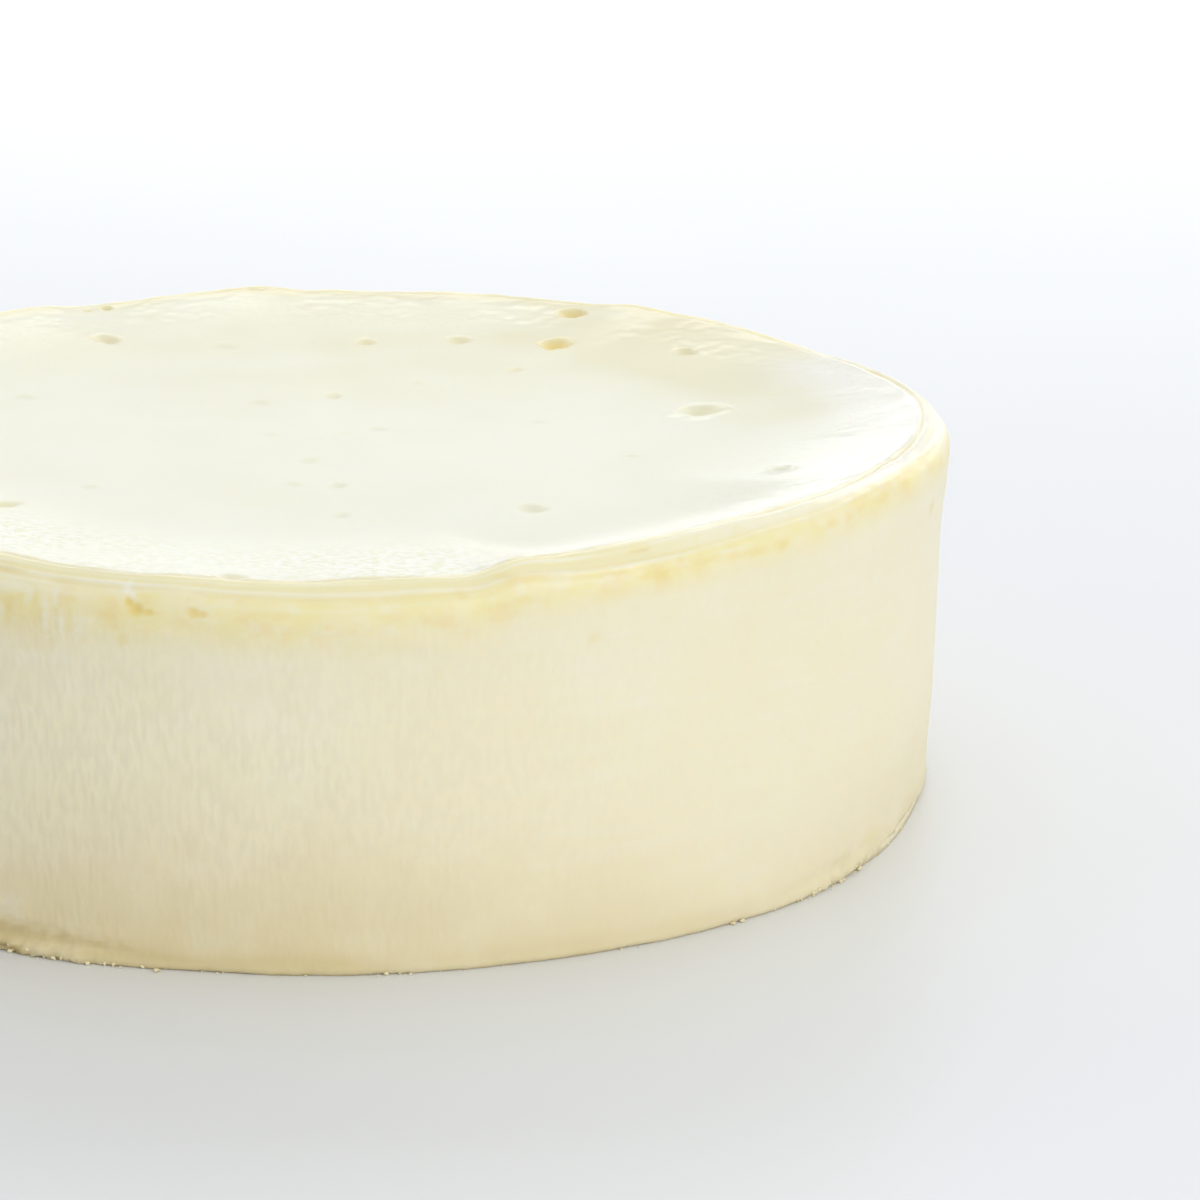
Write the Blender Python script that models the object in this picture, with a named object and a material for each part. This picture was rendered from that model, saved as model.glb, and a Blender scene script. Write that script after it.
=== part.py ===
"""Baked cheesecake without a crust, whole and uncut, as one solid.

The cake is turned about Z from its half profile: a flat base, a side that leans out a little,
a rounded shoulder, a groove round a raised rim, and a top that has sunk in the middle. The
turned form is then made as uneven as a baked cake, and burst bubbles are cut out of its top.
The origin is the middle of the base. Metres, +Z up. A bearing is in degrees, 0 at the front,
which faces -Y, and grows towards +X.
"""

import math

import bmesh
import bpy
from mathutils import Euler, Matrix, Vector

# Driving dimensions of the turned form
RIM_HEIGHT = 0.068          # crest of the rim above the base
SHOULDER_RADIUS = 0.1147    # widest, just under the rim
BASE_RADIUS = 0.1113        # edge of the flat base
FOOT_WIDTH = 0.0010         # rounding of the bottom edge, across and up
FOOT_HEIGHT = 0.0016
SIDE_LEAN = 0.0012          # how far the side leans out above the foot
GROOVE_RADIUS = 0.1100      # thin groove that parts the rim's crest from its lip
GROOVE_DEPTH = 0.0004
GROOVE_HALF_WIDTH = 0.0007
RIDGE_RADIUS = 0.1135       # where the lip rounds over into the shoulder
RIDGE_DROP = 0.0021         # how far that is below the crest
SHOULDER_DROP = 0.0042      # from the ridge down to the widest point
NECK_DROP = 0.0200          # from the ridge down to where the side stops swelling outwards
SINK_DEPTH = 0.0034         # middle of the top below the crest
SINK_RADIUS = 0.068         # inside this the top is nearly flat

# How uneven the bake is. A swell is a bearing, a half width and a height.
SECTORS = 112
STRETCH_FLOOR = 0.022       # below this height the side is not stretched by the rim
FOLD_START, FOLD_END = 11.5, 17.0       # bearings between which the rim folds and steps up
FADE_START, FADE_END = 82.0, 128.0      # bearings between which that step dies away again
FOLD_RISE = 0.0026
RIM_SWELLS = (
    (60.0, 46.0, 0.0015),
    (-40.0, 24.0, 0.0019),
    (146.0, 6.0, 0.0005),
    (-154.0, 8.0, -0.0006),
    (-172.0, 6.0, 0.0006),
)
FLAT_LIP = (66.0, 36.0, 0.0015)         # where the lip outside the groove lies flatter
RIM_RIPPLE = 0.00030
LIP_RIPPLE = 0.00030
RADIUS_RIPPLE = 0.00020
FOOT_RIPPLE = 0.00022
TOP_RIPPLE = 0.00025

# Burst bubbles in the top: bearing, distance from the axis, width, depth
BUBBLES = (
    (147.5, 0.0830, 0.0072, 0.0019),
    (151.5, 0.1035, 0.0068, 0.0016),
    (161.0, 0.0800, 0.0052, 0.0012),
    (174.5, 0.0755, 0.0044, 0.0011),
    (130.5, 0.0925, 0.0050, 0.0012),
    (145.5, 0.0640, 0.0034, 0.0009),
    (-149.5, 0.0870, 0.0056, 0.0014),
    (179.0, 0.0325, 0.0040, 0.0009),
    (104.0, 0.0720, 0.0066, 0.0013),
    (34.0, 0.0630, 0.0054, 0.0012),
    (2.0, 0.0345, 0.0036, 0.0008),
    (65.5, 0.0880, 0.0038, 0.0010),
    (-49.0, 0.0755, 0.0050, 0.0012),
)


def smooth(value, low, high):
    """0 at low, 1 at high, with no corner at either end."""
    share = min(max((value - low) / (high - low), 0.0), 1.0)
    return share * share * (3.0 - 2.0 * share)


def swell(bearing, centre, half_width, height):
    """A rounded rise of that height at the centre bearing, gone past the half width."""
    away = abs((bearing - centre + 180.0) % 360.0 - 180.0)
    return height * math.cos(min(away / half_width, 1.0) * math.pi / 2.0) ** 2


def ripple(bearing, lowest, highest, salt):
    """An uneven wave round the cake, mostly between -1 and 1, made of whole turns."""
    angle = math.radians(bearing)
    waves = range(lowest, highest + 1)
    total = sum(math.sin(turns * angle + salt * turns * turns) for turns in waves)
    return total / math.sqrt(len(waves))


def rim_rise(bearing):
    """How far the rim stands above its usual height."""
    step = smooth(bearing, FOLD_START, FOLD_END) * (1.0 - smooth(bearing, FADE_START, FADE_END))
    swells = sum(swell(bearing, *rise) for rise in RIM_SWELLS)
    return FOLD_RISE * step + swells + RIM_RIPPLE * ripple(bearing, 3, 17, 0.83)


def lip_lift(bearing):
    """How much higher the lip outside the groove lies than in the turned form."""
    return swell(bearing, *FLAT_LIP) + LIP_RIPPLE * ripple(bearing, 4, 15, 2.17)


def sunken_height(radius):
    """Height of the turned top inside the groove: a shallow bowl that rises to the crest."""
    crest_radius = GROOVE_RADIUS - 2.0 * GROOVE_HALF_WIDTH
    climb = smooth(radius, SINK_RADIUS, crest_radius) ** 1.2
    return RIM_HEIGHT - SINK_DEPTH * (1.0 - climb)


def arc(centre, radii, start, end, steps):
    """Points of an elliptic arc in the half profile, from one angle to another."""
    angles = [math.radians(start + (end - start) * step / steps) for step in range(steps + 1)]
    return [(centre[0] + radii[0] * math.cos(angle), centre[1] + radii[1] * math.sin(angle))
            for angle in angles]


def side_profile(neck_height, steps=6):
    """The side from the foot's rounding up to the neck, leaning out evenly."""
    start = BASE_RADIUS + FOOT_WIDTH
    shares = [step / steps for step in range(1, steps + 1)]
    return [(start + SIDE_LEAN * share, FOOT_HEIGHT + (neck_height - FOOT_HEIGHT) * share)
            for share in shares]


def shoulder_profile(neck_height, widest_height):
    """From the neck out to the widest point, and round over it to the ridge."""
    neck_radius = BASE_RADIUS + FOOT_WIDTH + SIDE_LEAN
    overhang = SHOULDER_RADIUS - neck_radius
    under = [(neck_radius + overhang * smooth(share, 0.0, 1.05),
              neck_height + (widest_height - neck_height) * share)
             for share in (0.25, 0.45, 0.65, 0.83)]
    inset = 0.0010
    rounding = (SHOULDER_RADIUS - RIDGE_RADIUS + inset, SHOULDER_DROP)
    return under + arc((RIDGE_RADIUS - inset, widest_height), rounding, 0.0, 75.0, 5)


def rim_profile(ridge):
    """From the ridge in over the lip, down through the groove and up to the crest."""
    lip_edge = GROOVE_RADIUS + GROOVE_HALF_WIDTH
    drop = RIM_HEIGHT - ridge[1]
    lip = [(ridge[0] + (lip_edge - ridge[0]) * share, RIM_HEIGHT - drop * (1.0 - share) ** 1.4)
           for share in (0.35, 0.7, 1.0)]
    groove = (GROOVE_RADIUS, RIM_HEIGHT - GROOVE_DEPTH)
    crest = (GROOVE_RADIUS - GROOVE_HALF_WIDTH, RIM_HEIGHT)
    return lip + [groove, crest]


def top_profile(steps=11):
    """The sunken top from the crest to the axis, with its rings closer near the rim."""
    outermost = GROOVE_RADIUS - 3.5 * GROOVE_HALF_WIDTH
    radii = [outermost * (1.0 - (step / steps) ** 1.6) for step in range(steps + 1)]
    return [(radius, sunken_height(radius)) for radius in radii]


def half_profile():
    """The turned form's outline, from the middle of the base out, up and in to the axis."""
    widest_height = RIM_HEIGHT - RIDGE_DROP - SHOULDER_DROP
    neck_height = RIM_HEIGHT - RIDGE_DROP - NECK_DROP
    foot = arc((BASE_RADIUS, FOOT_HEIGHT), (FOOT_WIDTH, FOOT_HEIGHT), -90.0, 0.0, 3)
    shoulder = shoulder_profile(neck_height, widest_height)
    outline = [(0.0, 0.0)] + foot + side_profile(neck_height) + shoulder
    return outline + rim_profile(shoulder[-1]) + top_profile()


def baked_top(radius, height, bearing):
    """Where a point of the turned top lies on the uneven cake, as radius and height."""
    inward = smooth(radius, SINK_RADIUS, GROOVE_RADIUS)
    wander = RADIUS_RIPPLE * ripple(bearing, 2, 9, 0.57) * inward
    settled = TOP_RIPPLE * ripple(bearing, 2, 6, 1.9) * math.sin(math.pi * radius / GROOVE_RADIUS)
    return radius + wander, height + rim_rise(bearing) * inward + settled


def baked_side(radius, height, bearing):
    """The same for the base's edge, the side and the lip. The base keeps its plane."""
    stretch = smooth(height, STRETCH_FLOOR, RIM_HEIGHT - RIDGE_DROP)
    outward = smooth(radius, GROOVE_RADIUS, RIDGE_RADIUS) * stretch
    near_foot = 1.0 - smooth(height, FOOT_HEIGHT, 6.0 * FOOT_HEIGHT)
    wander = RADIUS_RIPPLE * ripple(bearing, 2, 9, 0.57) * (0.3 + 0.7 * stretch)
    wander += FOOT_RIPPLE * ripple(bearing, 5, 17, 1.31) * near_foot
    return radius + wander, height + rim_rise(bearing) * stretch + lip_lift(bearing) * outward


def bake(vert):
    """Moves one vertex of the turned form to its place on the uneven cake."""
    radius = math.hypot(vert.co.x, vert.co.y)
    on_axis = radius < FOOT_WIDTH
    on_top = vert.co.z > RIM_HEIGHT / 2.0 and radius < GROOVE_RADIUS
    bearing = math.degrees(math.atan2(vert.co.x, -vert.co.y))
    if not on_axis:
        place = baked_top if on_top else baked_side
        new_radius, vert.co.z = place(radius, vert.co.z, bearing)
        vert.co.x *= new_radius / radius
        vert.co.y *= new_radius / radius


def add_object(name, bm):
    """An object of that name, in the scene, with the mesh built so far."""
    mesh = bpy.data.meshes.new(name)
    bm.to_mesh(mesh)
    bm.free()
    thing = bpy.data.objects.new(name, mesh)
    bpy.context.scene.collection.objects.link(thing)
    return thing


def make_cake(material):
    """The cake: the half profile spun about Z, then baked uneven."""
    bm = bmesh.new()
    outline = [bm.verts.new((0.0, -radius, height)) for radius, height in half_profile()]
    edges = [bm.edges.new(pair) for pair in zip(outline, outline[1:])]
    bmesh.ops.spin(bm, geom=outline + edges, cent=(0.0, 0.0, 0.0), axis=(0.0, 0.0, 1.0),
                   angle=2.0 * math.pi, steps=SECTORS, use_merge=True)
    bmesh.ops.remove_doubles(bm, verts=bm.verts, dist=1e-6)
    for vert in bm.verts:
        bake(vert)
    middle = min(bm.verts, key=lambda vert: vert.co.length)
    bmesh.ops.dissolve_verts(bm, verts=[middle])
    bmesh.ops.recalc_face_normals(bm, faces=bm.faces)
    cake = add_object("cheesecake", bm)
    cake.data.materials.append(material)
    cake.data.shade_smooth()
    cake.data.set_sharp_from_angle(angle=math.radians(50.0))
    return cake


def make_bubble_cutters():
    """Shallow ellipsoids, each sitting in the top where a bubble burst, in one mesh."""
    bm = bmesh.new()
    for count, (bearing, distance, width, depth) in enumerate(BUBBLES):
        distance, height = baked_top(distance, sunken_height(distance), bearing)
        angle = math.radians(bearing)
        place = Vector((distance * math.sin(angle), -distance * math.cos(angle), height))
        place.z += 0.5 * depth
        narrower = 0.72 + 0.09 * (count % 4)
        size = Matrix.Diagonal((0.58 * width, 0.58 * width * narrower, 1.5 * depth, 1.0))
        turn = Euler((0.0, 0.0, 1.1 * count)).to_matrix().to_4x4()
        bmesh.ops.create_uvsphere(bm, u_segments=10, v_segments=7, radius=1.0,
                                  matrix=Matrix.Translation(place) @ turn @ size)
    cutters = add_object("bubble_cutters", bm)
    cutters.hide_render = True
    cutters.display_type = "WIRE"
    return cutters


def make_material():
    """Smooth pale cream of the baked cheese."""
    cream = (0.86, 0.79, 0.56, 1.0)
    material = bpy.data.materials.new("baked_cream")
    material.use_nodes = True
    surface = material.node_tree.nodes["Principled BSDF"]
    surface.inputs["Base Color"].default_value = cream
    surface.inputs["Roughness"].default_value = 0.42
    surface.inputs["Metallic"].default_value = 0.0
    material.diffuse_color = cream
    return material


def main():
    for old in list(bpy.data.objects):
        bpy.data.objects.remove(old, do_unlink=True)
    cake = make_cake(make_material())
    cut = cake.modifiers.new("bubbles", "BOOLEAN")
    cut.operation = "DIFFERENCE"
    cut.solver = "EXACT"
    cut.object = make_bubble_cutters()


main()
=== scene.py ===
import math
import random

import bmesh
import bpy
from mathutils import Euler, Matrix, Vector, noise
from mathutils.kdtree import KDTree


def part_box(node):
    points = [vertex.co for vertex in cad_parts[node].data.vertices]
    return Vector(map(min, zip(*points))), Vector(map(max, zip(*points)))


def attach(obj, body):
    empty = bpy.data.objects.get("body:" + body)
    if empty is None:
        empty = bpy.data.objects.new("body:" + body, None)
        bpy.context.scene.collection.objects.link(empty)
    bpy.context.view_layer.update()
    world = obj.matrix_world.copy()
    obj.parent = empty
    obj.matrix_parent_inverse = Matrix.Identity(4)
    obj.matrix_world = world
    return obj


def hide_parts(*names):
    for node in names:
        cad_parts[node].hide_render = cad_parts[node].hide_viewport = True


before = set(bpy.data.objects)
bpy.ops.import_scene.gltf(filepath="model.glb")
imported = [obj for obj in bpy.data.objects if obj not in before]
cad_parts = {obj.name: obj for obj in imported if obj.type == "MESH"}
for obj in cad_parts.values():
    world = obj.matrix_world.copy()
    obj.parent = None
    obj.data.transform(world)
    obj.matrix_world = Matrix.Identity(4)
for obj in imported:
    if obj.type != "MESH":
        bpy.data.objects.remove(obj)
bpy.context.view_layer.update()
boxLow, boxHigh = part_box("cheesecake")
mm = 0.001
print("frame loaded, cake box in mm:", [round(side / mm, 1) for side in boxHigh - boxLow])

# The turned form of the cake, taken from the frame. A bearing is in degrees, 0 at the front (-Y).
cakeShape = {
    "shoulderRadius": (boxHigh.x - boxLow.x + boxHigh.y - boxLow.y) / 4,
    "crestHeight": boxHigh.z - 4.1 * mm,    # the rim where it is neither swollen nor folded
    "baseInset": 3.4 * mm,      # from the shoulder in to the edge of the flat base
    "footWidth": 1.0 * mm,
    "footHeight": 1.6 * mm,
    "sideLean": 1.2 * mm,
    "grooveInset": 4.7 * mm,    # from the shoulder in to the groove
    "ridgeInset": 1.2 * mm,     # from the shoulder in to the ridge where the lip rounds over
    "ridgeDrop": 2.1 * mm,
    "shoulderDrop": 4.2 * mm,
    "neckDrop": 20.0 * mm,
    "sinkDepth": 3.4 * mm,
    "sinkRadius": 60.0 * mm,
    "dish": 1.7,                # how the top climbs out to the rim: 1 evenly, more late and steeply
    "curl": 2.6,                # added to that where the rim curls up
    "lipEdge": 0.7 * mm,        # outside the groove, where the lip meets the flat of the rim
    "crestInset": 1.4 * mm,     # inside the groove, where the top begins
    "stretchFloor": 22.0 * mm,  # the side below this height doesn't rise with the rim
}

# How unevenly it baked. A swell is a bearing, a half width and a height. A ripple is a height, the
# fewest and the most waves round the cake, and a salt.
bakeShape = {
    "foldBearings": (11.5, 17.0),
    "foldFade": (82.0, 128.0),
    "foldRise": 2.6 * mm,
    "rimSwells": (
        (60.0, 46.0, 1.5 * mm),
        (-40.0, 24.0, 1.9 * mm),
        (112.0, 16.0, -0.5 * mm),
        (146.0, 6.0, 0.5 * mm),
        (-154.0, 8.0, -0.6 * mm),
        (-172.0, 6.0, 0.6 * mm),
    ),
    "flatLip": (66.0, 36.0, 1.5 * mm),
    # bearings between which the rim's curl grows and fades
    "curledRim": (12.0, 24.0, 35.0, 62.0),
    "calmRim": (62.0, 76.0, 104.0, 118.0),      # and here it ripples less
    "calming": 0.75,
    "rimRipple": (0.30 * mm, 3, 17, 0.83),
    "lipRipple": (0.30 * mm, 4, 15, 2.17),
    "radiusRipple": (0.20 * mm, 2, 9, 0.57),
    "footRipple": (0.22 * mm, 5, 17, 1.31),
    "topRipple": (0.25 * mm, 2, 6, 1.90),
}

shoulderRadius = cakeShape["shoulderRadius"]
crestHeight = cakeShape["crestHeight"]
baseRadius = shoulderRadius - cakeShape["baseInset"]
grooveRadius = shoulderRadius - cakeShape["grooveInset"]
crestRadius = grooveRadius - cakeShape["crestInset"]
ridgeRadius = shoulderRadius - cakeShape["ridgeInset"]
ridgeHeight = crestHeight - cakeShape["ridgeDrop"]
widestHeight = ridgeHeight - cakeShape["shoulderDrop"]
neckHeight = ridgeHeight - cakeShape["neckDrop"]
neckRadius = baseRadius + cakeShape["footWidth"] + cakeShape["sideLean"]


def smooth(value, low, high):
    share = min(max((value - low) / (high - low), 0.0), 1.0)
    return share * share * (3.0 - 2.0 * share)


def band(value, start, full, fade, end):
    # rises from start to full, holds, and falls from fade to end
    return smooth(value, start, full) * (1.0 - smooth(value, fade, end))


def swell(bearing, centre, halfWidth, height):
    away = abs((bearing - centre + 180.0) % 360.0 - 180.0)
    return height * math.cos(min(away / halfWidth, 1.0) * math.pi / 2.0) ** 2


def ripple(name, bearing):
    # an uneven wave of whole turns, so that it closes round the cake
    height, fewest, most, salt = bakeShape[name]
    angle = math.radians(bearing)
    waves = [math.sin(turns * angle + salt * turns * turns) for turns in range(fewest, most + 1)]
    return height * sum(waves) / math.sqrt(len(waves))


def climbTo(radius, bearing=None):
    # 0 on the sunken middle, 1 at the rim
    share = (radius - cakeShape["sinkRadius"]) / (crestRadius - cakeShape["sinkRadius"])
    curl = 0.0 if bearing is None else band(bearing, *bakeShape["curledRim"])
    return min(max(share, 0.0), 1.0) ** (cakeShape["dish"] + cakeShape["curl"] * curl)


def sunkenHeight(radius):
    return crestHeight - cakeShape["sinkDepth"] * (1.0 - climbTo(radius))


def rimRise(bearing):
    step = smooth(bearing, *bakeShape["foldBearings"]) * (1.0 - smooth(bearing, *bakeShape["foldFade"]))
    swells = sum(swell(bearing, *rise) for rise in bakeShape["rimSwells"])
    calm = 1.0 - bakeShape["calming"] * band(bearing, *bakeShape["calmRim"])
    return bakeShape["foldRise"] * step + swells + calm * ripple("rimRipple", bearing)


def lipLift(bearing):
    return swell(bearing, *bakeShape["flatLip"]) + ripple("lipRipple", bearing)


def bakedTop(radius, height, bearing):
    evenly, inward = climbTo(radius), climbTo(radius, bearing)
    wander = ripple("radiusRipple", bearing) * evenly
    settled = ripple("topRipple", bearing) * math.sin(math.pi * radius / grooveRadius)
    settled += rimRise(bearing) * inward - cakeShape["sinkDepth"] * (evenly - inward)
    return radius + wander, height + settled


def bakedSide(radius, height, bearing):
    stretch = smooth(height, cakeShape["stretchFloor"], ridgeHeight)
    outward = smooth(radius, grooveRadius, ridgeRadius) * stretch
    nearFoot = 1.0 - smooth(height, cakeShape["footHeight"], 6.0 * cakeShape["footHeight"])
    wander = ripple("radiusRipple", bearing) * (0.3 + 0.7 * stretch)
    wander += ripple("footRipple", bearing) * nearFoot
    return radius + wander, height + rimRise(bearing) * stretch + lipLift(bearing) * outward


def bearingOf(x, y):
    return math.degrees(math.atan2(x, -y))


def onRing(radius, bearing, height):
    angle = math.radians(bearing)
    return Vector((radius * math.sin(angle), -radius * math.cos(angle), height))


# The camera stands in front of the cake, a little above it.
cameraSetup = {
    "elevation": 14.0,      # degrees above level
    "distance": 0.928,      # from the middle of the rim's plane
    "aim": (-2.07, -3.09, -0.23),   # tilted down, turned right and rolled, in degrees
    "lens": 100.0,
    "sensor": 24.0,
}


def makeCamera(values):
    camera = bpy.data.objects.new("camera", bpy.data.cameras.new("camera"))
    bpy.context.scene.collection.objects.link(camera)
    camera.data.lens = values["lens"]
    camera.data.sensor_width = values["sensor"]
    camera.data.clip_start = 0.01
    elevation = math.radians(values["elevation"])
    sight = Vector((0.0, math.cos(elevation), -math.sin(elevation)))
    camera.location = Vector((0.0, 0.0, crestHeight)) - sight * values["distance"]
    turn = Euler([math.radians(angle) for angle in values["aim"]]).to_quaternion()
    camera.rotation_euler = (sight.to_track_quat("-Z", "Y") @ turn).to_euler()
    bpy.context.scene.camera = camera


makeCamera(cameraSetup)
print("camera placed")


def addNode(tree, kind, **settings):
    node = tree.nodes.new(kind)
    for name, value in settings.items():
        setattr(node, name, value)
    return node


def plug(tree, value, socket):
    # a socket is linked, and anything else is its value
    if isinstance(value, bpy.types.NodeSocket):
        tree.links.new(value, socket)
    else:
        socket.default_value = value


def maths(tree, operation, first, second=0.0):
    node = addNode(tree, "ShaderNodeMath", operation=operation)
    plug(tree, first, node.inputs[0])
    plug(tree, second, node.inputs[1])
    return node.outputs[0]


def mixColour(tree, share, under, over, blend="MIX"):
    node = addNode(tree, "ShaderNodeMix", data_type="RGBA", blend_type=blend)
    plug(tree, share, node.inputs["Factor"])
    plug(tree, under, node.inputs[6])
    plug(tree, over, node.inputs[7])
    return node.outputs[2]


def mixValue(tree, share, under, over):
    node = addNode(tree, "ShaderNodeMix", data_type="FLOAT")
    plug(tree, share, node.inputs["Factor"])
    plug(tree, under, node.inputs[2])
    plug(tree, over, node.inputs[3])
    return node.outputs[0]


def newGroup(name, outputs, **inputs):
    # outputs are values, and so are inputs except those given as three numbers
    group = bpy.data.node_groups.new(name, "ShaderNodeTree")
    for label, value in inputs.items():
        kind = "NodeSocketFloat" if isinstance(value, float) else "NodeSocketVector"
        socket = group.interface.new_socket(name=label, in_out="INPUT", socket_type=kind)
        socket.default_value = value
    for label in outputs:
        group.interface.new_socket(name=label, in_out="OUTPUT", socket_type="NodeSocketFloat")
    return group, addNode(group, "NodeGroupInput").outputs, addNode(group, "NodeGroupOutput").inputs


def useGroup(tree, group, **values):
    node = addNode(tree, "ShaderNodeGroup", node_tree=group)
    for label, value in values.items():
        plug(tree, value, node.inputs[label])
    return node.outputs


def cutBetween(group, value, low, high):
    part = addNode(group, "ShaderNodeMapRange", interpolation_type="SMOOTHSTEP")
    for label, source in (("Value", value), ("From Min", low), ("From Max", high)):
        group.links.new(source, part.inputs[label])
    return part.outputs["Result"]


def makeZoneBand():
    # a mask that is 1 between Full and Fade and gone before Start and after End
    group, given, result = newGroup("zoneBand", ["Mask"], Value=0.0,
                                    Start=0.0, Full=1.0, Fade=2.0, End=3.0)
    halves = [cutBetween(group, given["Value"], given[low], given[high])
              for low, high in (("Start", "Full"), ("End", "Fade"))]
    group.links.new(maths(group, "MULTIPLY", *halves), result["Mask"])
    return group


def makeMottle():
    # cloudy patches: noise cut between Low and High, stretched along an axis by Squeeze
    group, given, result = newGroup("mottle", ["Mask", "Height"], Vector=(0.0, 0.0, 0.0),
                                    Squeeze=(1.0, 1.0, 1.0), Scale=100.0, Detail=3.0, Low=0.4, High=0.6)
    scaled = addNode(group, "ShaderNodeVectorMath", operation="MULTIPLY")
    group.links.new(given["Vector"], scaled.inputs[0])
    group.links.new(given["Squeeze"], scaled.inputs[1])
    cloud = addNode(group, "ShaderNodeTexNoise")
    group.links.new(scaled.outputs[0], cloud.inputs["Vector"])
    group.links.new(given["Scale"], cloud.inputs["Scale"])
    group.links.new(given["Detail"], cloud.inputs["Detail"])
    cut = cutBetween(group, cloud.outputs["Fac"], given["Low"], given["High"])
    group.links.new(cut, result["Mask"])
    group.links.new(cloud.outputs["Fac"], result["Height"])
    return group


zoneBand = makeZoneBand()
mottle = makeMottle()


def newMaterial(name):
    material = bpy.data.materials.new(name)
    material.use_nodes = True
    tree = material.node_tree
    coords = addNode(tree, "ShaderNodeTexCoord").outputs["Object"]
    return material, tree, tree.nodes["Principled BSDF"], coords


def placeMesh(name, bm):
    mesh = bpy.data.meshes.new(name)
    bm.to_mesh(mesh)
    bm.free()
    mesh.shade_smooth()
    placed = bpy.data.objects.new(name, mesh)
    bpy.context.scene.collection.objects.link(placed)
    return placed


def countTriangles(piece):
    return sum(len(face.vertices) - 2 for face in piece.data.polygons)


def readAttribute(tree, name):
    return addNode(tree, "ShaderNodeAttribute", attribute_name=name).outputs["Fac"]


def bumpFrom(tree, surface, height, distance, strength=1.0):
    bump = addNode(tree, "ShaderNodeBump")
    bump.inputs["Distance"].default_value = distance
    bump.inputs["Strength"].default_value = strength
    tree.links.new(height, bump.inputs["Height"])
    tree.links.new(bump.outputs["Normal"], surface.inputs["Normal"])


meshSetup = {
    "columns": 800,         # round the side and the rim, halved where less is needed
    "halvings": (0.094, 0.050, 0.026, 0.013, 0.006),   # radii of the top where columns halve
    "plainSide": (15.0, 61.0),      # and from here to here down the side, in mm outside the groove
    "ringGaps": (           # from this far outside the groove, in mm, rings lie this far apart
        (-200.0, 2.6), (-90.0, 1.8), (-60.0, 1.5), (-16.0, 0.8), (-3.0, 0.30),
        (6.4, 0.6), (15.0, 1.45), (61.0, 0.6),
    ),
}


def arc(centre, radii, start, end, steps):
    angles = [math.radians(start + (end - start) * step / steps) for step in range(steps + 1)]
    return [(centre[0] + radii[0] * math.cos(a), centre[1] + radii[1] * math.sin(a)) for a in angles]


def halfProfile(steps=60):
    # a fine outline from the base's edge up the side, over the rim and in to the axis
    shares = [step / steps for step in range(1, steps + 1)]
    footWidth, footHeight = cakeShape["footWidth"], cakeShape["footHeight"]
    outline = arc((baseRadius, footHeight), (footWidth, footHeight), -90.0, 0.0, 12)
    outline += [(baseRadius + footWidth + cakeShape["sideLean"] * s,
                 footHeight + (neckHeight - footHeight) * s) for s in shares]
    overhang = shoulderRadius - neckRadius
    outline += [(neckRadius + overhang * smooth(s, 0.0, 1.05),
                 neckHeight + (widestHeight - neckHeight) * s) for s in shares[:-1]]
    inset = 1.0 * mm
    over = arc((ridgeRadius - inset, widestHeight),
               (shoulderRadius - ridgeRadius + inset, cakeShape["shoulderDrop"]), 0.0, 75.0, 24)
    outline += over
    lipEdge, lipDrop = grooveRadius + cakeShape["lipEdge"], crestHeight - over[-1][1]
    outline += [(over[-1][0] + (lipEdge - over[-1][0]) * s, crestHeight - lipDrop * (1.0 - s) ** 1.4)
                for s in shares]
    outline += [(lipEdge + (crestRadius - lipEdge) * s, crestHeight) for s in shares]
    outline += [(crestRadius * (1.0 - s), sunkenHeight(crestRadius * (1.0 - s))) for s in shares]
    return outline


def stationsAlong(outline):
    # evenly graded stations: radius, height, outward normal and distance outside the groove
    lengths = [0.0]
    for before, after in zip(outline, outline[1:]):
        lengths.append(lengths[-1] + math.dist(before, after))
    grooveAt = min(range(len(outline)), key=lambda i: abs(outline[i][0] - grooveRadius)
                   + (outline[i][1] < crestHeight - 0.5 * mm))

    def pointAt(length):
        index = min(max(next((i for i, l in enumerate(lengths) if l > length), len(lengths) - 1), 1),
                    len(lengths) - 1)
        span = lengths[index] - lengths[index - 1] or 1.0
        share = (length - lengths[index - 1]) / span
        return [a + (b - a) * share for a, b in zip(outline[index - 1], outline[index])]

    stations, length = [], 0.0
    while length < lengths[-1] - 1.0 * mm:
        radius, height = pointAt(length)
        ahead = pointAt(min(length + 0.4 * mm, lengths[-1]))
        behind = pointAt(max(length - 0.4 * mm, 0.0))
        along = Vector((ahead[0] - behind[0], ahead[1] - behind[1])).normalized()
        fromRim = (lengths[grooveAt] - length) / mm
        stations.append((radius, height, along.y, -along.x, fromRim))
        gap = [size for start, size in meshSetup["ringGaps"] if fromRim >= start][-1]
        length += gap * mm
    return stations


def ringColumns(radius, fromRim):
    count = meshSetup["columns"]
    low, high = meshSetup["plainSide"]
    if fromRim < 0.0:
        return count // 2 ** sum(radius < limit for limit in meshSetup["halvings"])
    return count // 2 if low < fromRim < high else count


def stitch(bm, outer, inner):
    # faces between two rings, one with as many columns as the other, or half or double
    if len(outer) < len(inner):
        outer, inner = inner, outer
    count = len(inner)
    for i in range(count):
        j = (i + 1) % count
        if len(outer) == count:
            bm.faces.new((outer[i], outer[j], inner[j], inner[i]))
        else:
            k = (2 * i + 2) % len(outer)
            bm.faces.new((outer[2 * i], outer[2 * i + 1], inner[i]))
            bm.faces.new((outer[2 * i + 1], inner[j], inner[i]))
            bm.faces.new((outer[2 * i + 1], outer[k], inner[j]))


turnedLayers = ("normalOut", "normalUp", "fromRim")


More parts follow.
